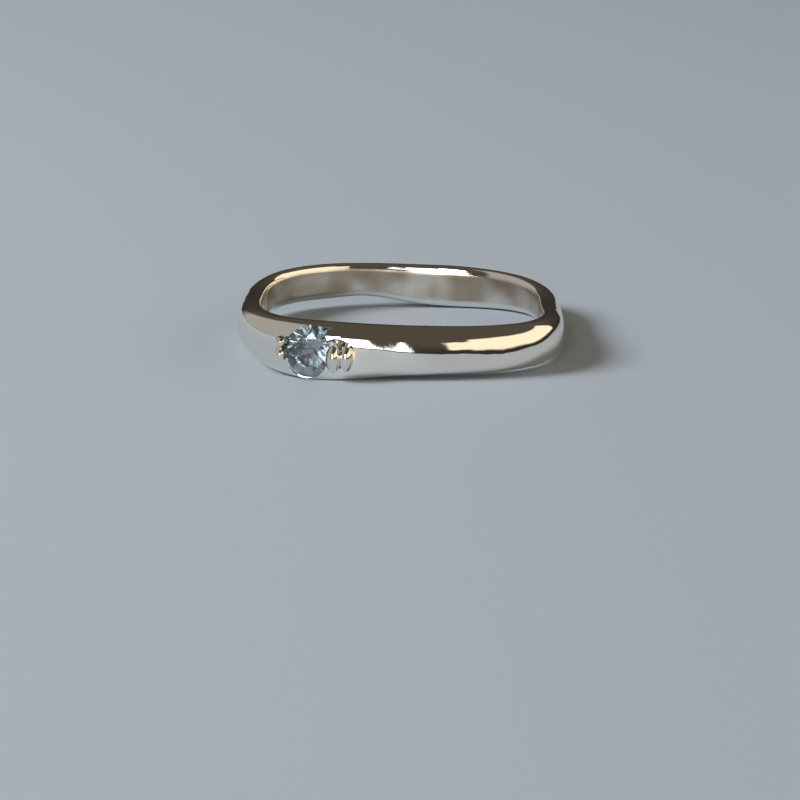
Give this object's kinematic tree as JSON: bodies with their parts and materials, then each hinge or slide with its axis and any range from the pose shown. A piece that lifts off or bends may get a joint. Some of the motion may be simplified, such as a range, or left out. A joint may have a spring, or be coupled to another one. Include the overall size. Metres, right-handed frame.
{
  "type": "birthstone ring",
  "caption": "Uneven polished silver finger ring with a squarish opening and a rounded band that carries a round pale blue cut stone held by bead prongs.",
  "frame": {"origin": "middle of the underside of the bounding box, on the surface that the ring lies on", "axes": "+Z is the finger's axis, up as the ring lies on its side; -Y is the front, which carries the stone; +X is to the right seen from the front"},
  "size_m": [0.0188, 0.0206, 0.0031],
  "materials": {
    "silver": "polished",
    "gem": "polished"
  },
  "bodies": {
    "root": {"band": "silver", "stone": "gem"}
  },
  "joints": []
}
